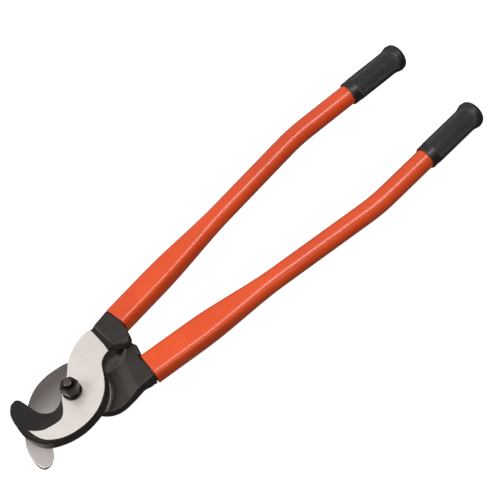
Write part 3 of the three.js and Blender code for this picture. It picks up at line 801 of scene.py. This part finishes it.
R_EDGE = shift([(-5.5, -10.9), (-12.5, -7.2), (-18.6, -3.2), (-25, -0.9), (-31, -1.2), (-38, -5), (-44, -13), (-49.5, -24), (-53.5, -32), (-60, -46)])
R_FACE = shift([(-6.2, -9.0), (-12.5, 0), (-19, 11), (-28, 18.5), (-39, 16.5), (-51, 9), (-62, -2), (-78, -15), (-104, -24), (-140, -40)])
rear_outline = loop([
    (shift([(80.6, 1.2), (79.4, 4.8), (77.0, 8.0), (74.6, 11.0), (71.0, 13.4), (65, 14.2), (57, 13.9), (50, 13.4)]), True),
    (shift([(50, 13.4), (45.0, 13.6), (41.0, 15.6), (36.6, 21.6), (29.2, 32.3), (19.9, 39.1), (9.9, 42.0), (-2.6, 43.6), (-15.7, 42.6), (-26.6, 38.9), (-38.3, 31.3), (-50, 20.6), (-58.5, 11.0), (-64.7, 1.6), (-68.8, -6), (-71.9, -16), (-73.0, -26.2), (-72.2, -34.0), (-69.8, -38.5), (-65.4, -40.2), (-60.6, -39.2), (-56.8, -36.2), (-53.5, -32)]), True),
    (shift([(-53.5, -32), (-49.5, -24), (-44, -13), (-38, -5), (-31, -1.2), (-25, -0.9), (-18.6, -3.2), (-12.5, -7.2), (-5.5, -10.9)]), True),
    (shift([(-5.5, -10.9), (0.5, -15.5), (4.0, -22.5), (7.0, -30.1), (12.2, -36.6), (19.6, -41.4), (28.2, -43.4), (38, -43.2), (48, -42.2), (58, -42.2), (66.0, -42.6), (71.0, -42.0)]), True),
    (shift([(71.0, -42.0), (74.6, -14.0), (74.8, -11.9), (77.6, -12.1), (81.6, -2.0), (80.6, 1.2)]), False),
], STEP)
edge_r, face_r = spline(R_EDGE, 120), spline(R_FACE, 140)
R_START = (-5.5 - PX, -10.9 - PY)
bevel_r = np.vstack([edge_r, face_r[::-1]])


def line_a(y):
    return 38.4 + 0.2575 * (y + 39.7)


def line_b(y):
    return 50.2 + 0.304 * (y + 40.8)


def pocket_floor(x, y):
    """Height of the scoop that the front blade's stop swings into."""
    d1 = y + 7.2
    nx, ny = (0.7 - -6.8), -(68.8 - 61.3)
    ln = math.hypot(nx, ny)
    d2 = -((x - 61.6) * nx + (y + 7.0) * ny) / ln
    d2 = np.where(y > 0.9, np.minimum(d2, 69.2 - x), d2)
    d3 = x - 37.5
    c1 = 7.0 * np.clip(1 - d1 / 12.0, 0, 2) ** 2
    c2 = 7.0 * np.clip(1 - d2 / 9.5, 0, 2) ** 2
    c3 = 3.65 * np.clip(1 - d3 / 11.0, 0, 2) ** 2
    return -3.8 + np.sqrt(c1 ** 2 + c2 ** 2 + c3 ** 2)


def rear_top(P, D):
    x, y = P[:, 0], P[:, 1]
    rad = np.hypot(x, y)
    ang = np.degrees(np.arctan2(y, x))
    sector = (ang > -82) & (ang < 6)
    h = np.full(len(P), -GAP)
    step = -0.75 * soft_ramp((rad - 36.0) / 1.1, 0.1)
    groove = -0.55 * np.exp(-((rad - 38.6) / 1.1) ** 2)
    h = np.where(sector, h + step + groove * smooth01((rad - 36.2) / 0.8), h)
    xa, xb = line_a(y), line_b(y)
    t = (x - xa) / (xb - xa)
    h = h + (3.2 + 0.9) * soft_ramp(t, 0.04)
    # slight ridge line where the ramp starts, as the die left it
    h = h + 0.22 * np.exp(-(((x - xa) - 0.2) / 0.9) ** 2) * (x > 30) * (y < -4)
    # scoop beside the stop
    sc = pocket_floor(x, y)
    use = (x > 37.5) & (y > -9)
    h = np.where(use, smin(h, sc, 0.18), h)
    # clear of the front head's underside
    h = np.where((y > 5.2) & (x > 53), np.minimum(h, -3.85), h)
    lim = np.interp(x, [69.8 - PX, 73.5 - PX], [4.6 - PY, 7.2 - PY])
    h = np.where((x > 68.9) & (y > lim), np.minimum(h, -3.85), h)
    # edges: tip and blade sharp, forging rounded
    tipzone = smooth01((-40 - x) / 6.0)
    r = np.where(x > 40, 1.2, np.where(y < -25, 1.0, 0.5))
    r = np.where(x < -48, 1.2, r)
    near_edge = dist(P, edge_r, False) < 1.5
    h = h - np.where(near_edge, 0, roll_off(D, np.minimum(r, 3.0)))
    return MID + h


def rear_bottom(P, D):
    x, y = P[:, 0], P[:, 1]
    rad = np.hypot(x, y)
    t = (x - 55.6) / 7.2
    z = -BLADE + (BLADE - HEAD) * soft_ramp(t, 0.1)
    de, df = dist(P, edge_r, False), dist(P, face_r, False)
    inb = inside(P, bevel_r) | ((de < 0.9) & (x < -4))
    tb = de / (de + df + 1e-9)
    root = -BLADE + (BLADE - 0.9) * smooth01(np.hypot(x - R_START[0], y - R_START[1]) / 7.0)
    hb = root - (BLADE + root) * (0.82 * tb + 0.18 * tb * tb)
    z = np.where(inb, np.maximum(z, hb), z)
    # forging edges rolled, more under the head
    low = (y < -18) & (x > 2)
    r = np.where(low, 2.6 + 2.6 * smooth01((x - 44) / 12.0), 1.4)
    r = np.where((x < -48) & inb, 0.8, r)
    r = np.where(x > 66, np.minimum(r, 5.0 - 3.4 * smooth01((x - 66) / 4.0)), r)
    edge = dist(P, edge_r, False) < 2.0
    z = z + np.where(edge, 0, roll_off(D, r))
    z = np.where(rad < 11.58, np.maximum(z, -BLADE + 4.2), z)
    return MID + z


def rear_zone(C, side, z):
    m = np.full(len(C), 1)
    x, y = C[:, 0], C[:, 1]
    rad = np.hypot(x, y)
    if side == "top":
        ang = np.degrees(np.arctan2(y, x))
        # painted shade: the ground face and hub take the darker ground-steel copy
        m = np.where((x < 30) & ~((ang > -82) & (ang < 6) & (rad > 35.8)), 0, m)
        m = np.where((ang > -82) & (ang < 6) & (rad <= 36.0), 0, m)
        # painted light: the scoop's floor takes the lighter pocket material
        cut = (x > 37.5) & (y > -9) & (z - MID < 3.0) & (rad > 38) & (np.abs(z - MID - np.maximum(pocket_floor(x, y), -3.85)) < 0.35)
        m = np.where(cut, 4, m)
    elif side == "bottom":
        inb = inside(C, bevel_r) | ((dist(C, edge_r, False) < 0.9) & (x < -4))
        m = np.where((x < 40) & ~inb, 3, m)
        m = np.where(inb, 2, m)
    else:
        m = np.where(dist(C, edge_r, False) < 0.6, 0, m)
    return m


arc = [(36.0 * math.cos(a), 36.0 * math.sin(a)) for a in np.radians(np.linspace(-82, 6, 90))]
arc2 = [(37.1 * math.cos(a), 37.1 * math.sin(a)) for a in np.radians(np.linspace(-82, 6, 90))]
V2, F2, A2 = plate_mesh("rear_blade", rear_outline, [circle(BORE_R, 72)],
                        [(even(face_r, 0.8), False), (even([(line_a(y), y) for y in (-46.0, -9.5)], 0.9), False), (even([(line_b(y), y) for y in (-46.0, -9.5)], 0.9), False), (arc, False), (arc2, False), (circle(11.60, 80), True), (circle(11.54, 80), True)],
                        rear_top, rear_bottom, rear_zone, None, rings=(0.2, 0.5, 0.9, 1.4, 2.1, 3.0, 4.1))
tv, tf = tang(LOWER, LOWER["mouthX"] - 4, LOWER["mouthX"] + 55)
rear_jaw = fused("rear_jaw_forging", (V2, F2, A2), (tv, tf, [1] * len(tf)), [M_REAR_PAINTED_SHADE, M_FORGED, M_BEVEL, M_BRIGHT, M_POCKET_PAINTED_LIGHT])


# ------------------------------------------------------------------ pivot set
def hexed(af, phase):
    """Radius limiter: the turned radius, cut by six flats."""
    def f(r, z, a):
        k = (a - phase + math.pi / 6) % (math.pi / 3) - math.pi / 6
        return np.minimum(r, (af / 2) / np.cos(k))
    return f


HEXP = math.radians(45 + 30)


def hex_profile(af, z0, z1, top, bottom, rin=0.0):
    R = af / math.sqrt(3)
    prof = [(rin, z0)] if rin < 1e-6 else []
    if bottom:
        prof += [(af / 2 - 0.5, z0), (af / 2 - 0.2, z0 + 0.12)] + [(af / 2 - 0.2 + (R + 0.15 - af / 2 + 0.2) * k / 6, z0 + 0.12 + 1.1 * k / 6) for k in range(1, 7)]
    else:
        prof += [(R - 0.2, z0), (R + 0.1, z0 + 0.2)]
    n = 6
    za, zb = prof[-1][1], z1 - (1.22 if top else 0.2)
    prof += [(R + 0.15, za + (zb - za) * k / n) for k in range(1, n + 1)]
    if top:
        prof += [(R + 0.15 - (R + 0.15 - af / 2 + 0.2) * k / 6, z1 - 1.22 + 1.1 * k / 6) for k in range(1, 7)] + [(af / 2 - 0.5, z1)]
    else:
        prof += [(R - 0.2, z1)]
    return prof


parts = []
v, f = turned(hex_profile(17.0, 0.0, 7.5, False, True) + [(5.6, 7.5), (5.25, 7.7), (5.0, 8.1), (5.0, 47.0)] + [(5.0 - 0.28 * (k % 2), 47.0 + 0.45 * k) for k in range(1, 8)] + [(4.6, 50.6), (0.0, 50.6)], 144, hexed(17.0, HEXP))
A = [0] * len(f)
v2, f2 = turned([(0.0, 49.5), (4.9, 49.5)] + [(5.1, 49.6 + 0.65 * k) for k in range(0, 7)] + [(5.1 - 0.14 * k, 53.9 + 0.2 * k) for k in range(1, 7)] + [(4.0, 55.25), (3.8, 55.38), (3.2, 55.4), (0.0, 55.4)], 144, hexed(8.6, HEXP))
V, F, A = join([(v, f, A), (v2, f2, [0] * len(f2))])
# painted light: the bolt end's top faces take the lighter oxide copy
A = [1 if min(V[i][2] for i in q) > 55.05 else 0 for q in F]
pivot_bolt = new_object("pivot_bolt_m10", V, F, [M_OXIDE, M_TOP_PAINTED_LIGHT], A, sharp=24)

n0 = MID + BLADE + 0.3 + 2.3 + 0.3
prof = hex_profile(17.0, n0, n0 + 11.8, True, True, 5.3)
prof = [(5.35, n0 + 0.7), (6.1, n0)] + prof + [(6.1, n0 + 11.8), (5.35, n0 + 11.1)]
v, f = turned(prof, 144, hexed(17.0, HEXP), closed=True)
pivot_nut = new_object("pivot_nut_m10", v, f, [M_OXIDE], sharp=24)


def washer(name, ro, ri, z0, z1, mat, c=0.45, dish=0.0):
    p = rounded([(ri, (z0 + z1) / 2), (ri, z1), (ro, z1 + dish), (ro, z0 + dish), (ri, z0), (ri, (z0 + z1) / 2)], c, 5)
    v, f = turned(p[:-1], 96, closed=True)
    return new_object(name, v, f, [mat], sharp=50)


front_washer = washer("front_washer_plain", 10.3, 5.5, MID + BLADE + 0.3, MID + BLADE + 2.6, M_OXIDE)
rear_washer = washer("rear_washer_plain", 10.9, 5.5, 7.8, 10.3, M_OXIDE)
spring_a = washer("disc_spring_a", 11.2, 5.6, 11.3, 12.4, M_SPRING, 0.25, -0.7)
spring_b = washer("disc_spring_b", 11.2, 5.6, 13.4, 14.5, M_SPRING, 0.25, -0.7)
z0 = MID - BLADE + 4.2 + 0.3
rear_bush = washer("rear_pivot_bush", 7.2, 5.3, z0, MID - 0.3, M_BUSH, 0.3)
front_bush = washer("front_pivot_bush", 7.2, 5.3, MID + 0.3, MID + BLADE - 0.1, M_BUSH, 0.3)

made = [
    (front_jaw, "front_arm", ["front_jaw"], "blade_steel"),
    (rear_jaw, "rear_arm", ["rear_jaw"], "blade_steel"),
    (pivot_bolt, "rear_arm", ["pivot_bolt"], "black_oxide"),
    (pivot_nut, "rear_arm", ["pivot_nut"], "black_oxide"),
    (front_washer, "rear_arm", ["front_washer"], "black_oxide"),
    (rear_washer, "rear_arm", ["rear_washer"], "black_oxide"),
    (spring_a, "rear_arm", ["disc_spring_outer"], "spring_steel"),
    (spring_b, "rear_arm", ["disc_spring_inner"], "spring_steel"),
    (rear_bush, "rear_arm", ["rear_bush"], "bush_steel"),
    (front_bush, "front_arm", ["front_bush"], "bush_steel"),
]

# ------------------------------------------------------------------ handles
for side, h, body in (("upper", UPPER, "front_arm"), ("lower", LOWER, "rear_arm")):
    m, e, xb = h["mouthX"], h["end"], h["xb"]
    xs = list(np.arange(m + 3, xb - 20, 5.0)) + list(np.arange(xb - 20, xb + 20, 2.0)) + list(np.arange(xb + 20, e - 2, 6.0))
    outer = [(m, 0.55), (m + 0.12, 0.25), (m + 0.35, 0.07), (m + 0.8, 0.0)] + [(x, 0.0) for x in xs] + [(e - 0.5, 0.0), (e, 0.4)]
    inner = [(e, WALL - 0.3), (e - 0.4, WALL)] + [(x, WALL) for x in reversed(xs[::2])] + [(m + 0.8, WALL), (m + 0.3, WALL - 0.1), (m, WALL - 0.4)]
    n = 96
    rings = [section(h, x, i, n) for x, i in outer + inner]
    V, F = skin(rings + [rings[0]], False, False)
    tube = new_object(f"{side}_tube_enamelled", V, F, [M_ORANGE], sharp=45)
    made.append((tube, body, [f"{side}_handle_tube"], "orange_paint"))

    for i, d in enumerate((18, 40)):
        c = handle_point(h, m + d)
        p = rounded([(0, 0), (2.5, 0), (2.5, 15.7), (0, 15.7)], 0.5, 5)
        v, f = turned(p, 48)
        v = v + np.array([c[0], c[1], h["z"] - 11.8])
        o = new_object(f"{side}_tang_pin_{i + 1}_turned", v, f, [M_PIN], sharp=50)
        made.append((o, body, [f"{side}_tang_pin_{i + 1}"], "black_oxide"))

    ri = TUBE_R - WALL - 0.3
    p = rounded([(0, -16), (ri - 0.6, -16), (ri, -14.5), (ri, 0.3), (TUBE_R - 0.2, 0.3), (TUBE_R - 0.2, 3.0), (0, 3.0)], 0.6, 5)
    v, f = turned(p, 72, frame_at=(h, e))
    o = new_object(f"{side}_tube_plug_moulded", v, f, [M_PLUG], sharp=50)
    made.append((o, body, [f"{side}_tube_plug"], "plug_plastic"))

    L, T = e + GRIP_END - h["grip"], e - h["grip"]
    br = TUBE_R + 0.25
    RIBS, per = 34, 10
    prof = [(br, 1.0), (br + 0.15, 0.35), (12.1, 0.0), (12.7, 0.08), (13.05, 0.35), (13.2, 0.8), (13.25, 1.6), (13.25, 6.2), (13.2, 7.2), (13.35, 8.2), (13.55, 9.2)]
    prof += [(13.6, z) for z in np.linspace(10.5, L - 19.6, 26)]
    flare = [(13.65, L - 18.8), (13.78, L - 17.8), (14.0, L - 16.7), (14.3, L - 15.6), (14.65, L - 14.4), (15.0, L - 13.2), (15.28, L - 12.1), (15.47, L - 11.1), (15.56, L - 10.2), (15.5, L - 9.6)]
    groove = [(15.1, L - 9.3), (14.75, L - 9.05), (14.65, L - 8.7), (14.75, L - 8.35), (15.0, L - 8.15)]
    dome = [(15.1 * math.cos(t) ** 0.78, L - 8.0 + 8.0 * math.sin(t)) for t in np.radians([3, 9, 16, 23, 31, 39, 48, 57, 66, 75, 84])]
    bore = [(0.0, L), (0.0, T + 3.6), (br - 1.0, T + 3.6), (br, T + 3.0)] + [(br, z) for z in np.linspace(T - 4, 6, 8)]
    full = prof + flare + groove + dome
    zs0, zs1, zs2 = 8.6, L - 17.0, L - 10.0

    def ribbed(r, z, a, zs0=zs0, zs1=zs1, zs2=zs2):
        if r < br + 0.4 or z < 8.0:
            return np.full(len(a), r)
        k = min(max((z - zs0) / 1.6, 0), 1) * min(max((zs2 - z) / (zs2 - zs1), 0), 1)
        wave = np.abs(np.sin(a * RIBS / 2))
        return r - 0.85 * k * (1 - wave) ** 1.8
    v, f = turned(full + bore, RIBS * per, ribbed, frame_at=(h, h["grip"]), closed=True)
    o = new_object(f"{side}_grip_ribbed", v, f, [M_RUBBER], sharp=60)
    made.append((o, body, [f"{side}_grip"], "grip_rubber"))

for o, body, nodes, slot in made:
    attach(o, body)
    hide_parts(*nodes)

# ------------------------------------------------------------------ floor, light, camera
scene = bpy.context.scene
FLOOR_Z = -0.0004
bm = bmesh.new()
bmesh.ops.create_grid(bm, x_segments=1, y_segments=1, size=6.0)
me = bpy.data.meshes.new("floor")
bm.to_mesh(me)
bm.free()
floor = bpy.data.objects.new("floor", me)
floor.location = (0.2, 0, FLOOR_Z)
scene.collection.objects.link(floor)
m, nt, bsdf, tc = mat_base("floor_white")
fn = noise(nt, tc, 6.0, 3.0)
nt.links.new(ramp(nt, fn.outputs["Fac"], [(0.3, (0.30, 0.30, 0.30, 1)), (0.7, (0.33, 0.33, 0.33, 1))]).outputs[0], bsdf.inputs["Base Color"])
bsdf.inputs["Roughness"].default_value = 0.9
bsdf.inputs["Emission Color"].default_value = (1, 1, 1, 1)
bsdf.inputs["Emission Strength"].default_value = 0.93
me.materials.append(m)
floor.visible_diffuse = False
floor.visible_glossy = False

world = bpy.data.worlds.new("studio")
world.use_nodes = True
wt = world.node_tree
back = wt.nodes["Background"]
back.inputs[0].default_value = (1.0, 0.99, 0.98, 1)
wc = wt.nodes.new("ShaderNodeTexCoord")
dot = wt.nodes.new("ShaderNodeVectorMath")
dot.operation = "DOT_PRODUCT"
dot.inputs[1].default_value = (-0.10, 0.42, 0.90)
wt.links.new(wc.outputs["Generated"], dot.inputs[0])
wr = wt.nodes.new("ShaderNodeMapRange")
wr.interpolation_type = "SMOOTHSTEP"
wr.inputs["From Min"].default_value, wr.inputs["From Max"].default_value = -0.45, 1.0
wr.inputs["To Min"].default_value, wr.inputs["To Max"].default_value = 0.10, 0.62
wt.links.new(dot.outputs["Value"], wr.inputs["Value"])
wt.links.new(wr.outputs[0], back.inputs[1])
scene.world = world


def area(name, at, aim, size, power, colour=(1, 1, 1), along=None):
    l = bpy.data.lights.new(name, "AREA")
    l.shape = "RECTANGLE"
    l.size, l.size_y = size
    l.energy = power
    l.color = colour
    o = bpy.data.objects.new(name, l)
    o.location = at
    o.rotation_mode = "QUATERNION"
    back_dir = (Vector(at) - Vector(aim)).normalized()
    if along is None:
        o.rotation_quaternion = back_dir.to_track_quat("Z", "Y")
    else:
        ax = (Vector(along) - Vector(along).dot(back_dir) * back_dir).normalized()
        ay = back_dir.cross(ax)
        o.rotation_quaternion = Matrix((ax, ay, back_dir)).transposed().to_quaternion()
    scene.collection.objects.link(o)
    return o


area("key", (-1.15, 0.45, 1.35), (0.15, 0, 0), (1.0, 0.9), 24)
area("strip", (0.74, -0.62, 1.52), (0.3, 0, 0), (1.7, 0.32), 16, along=(1, 0, 0))
area("fill", (-0.25, -1.35, 0.75), (0.2, 0, 0), (1.4, 0.5), 3.5, along=(1, 0, 0))

scene.view_settings.view_transform = "Standard"
scene.view_settings.look = "None"
scene.view_settings.exposure = 0.0

F_PX, ELEV, ROLL, TH = 1742.50555, 9.42652329e-01, -3.55733396e-01, 4.36332313e-01
X0, Y0, CX, CY = 72.9198053, 397.931121, 250.0, 250.0
fw = np.array([0, math.cos(ELEV), -math.sin(ELEV)])
rt = np.array([1.0, 0, 0])
up = np.array([0, math.sin(ELEV), math.cos(ELEV)])
r2 = rt * math.cos(ROLL) + up * math.sin(ROLL)
u2 = -rt * math.sin(ROLL) + up * math.cos(ROLL)
C = -(fw * F_PX + r2 * (X0 - CX) - u2 * (Y0 - CY))
turn = np.array([[math.cos(TH), math.sin(TH), 0], [-math.sin(TH), math.cos(TH), 0], [0, 0, 1]])
r2, u2, fw, C = turn @ r2, turn @ u2, turn @ fw, turn @ C
pos = (C + np.array([-2.4, 2.5, 23.1])) / 1000.0
cam_data = bpy.data.cameras.new("camera")
cam_data.sensor_width = 36.0
cam_data.sensor_fit = "HORIZONTAL"
cam_data.lens = F_PX * 36.0 / 500.0
cam_data.clip_start, cam_data.clip_end = 0.05, 50
cam = bpy.data.objects.new("camera", cam_data)
cam.matrix_world = Matrix([[r2[0], u2[0], -fw[0], pos[0]], [r2[1], u2[1], -fw[1], pos[1]], [r2[2], u2[2], -fw[2], pos[2]], [0, 0, 0, 1]])
scene.collection.objects.link(cam)
scene.camera = cam

bpy.context.view_layer.update()
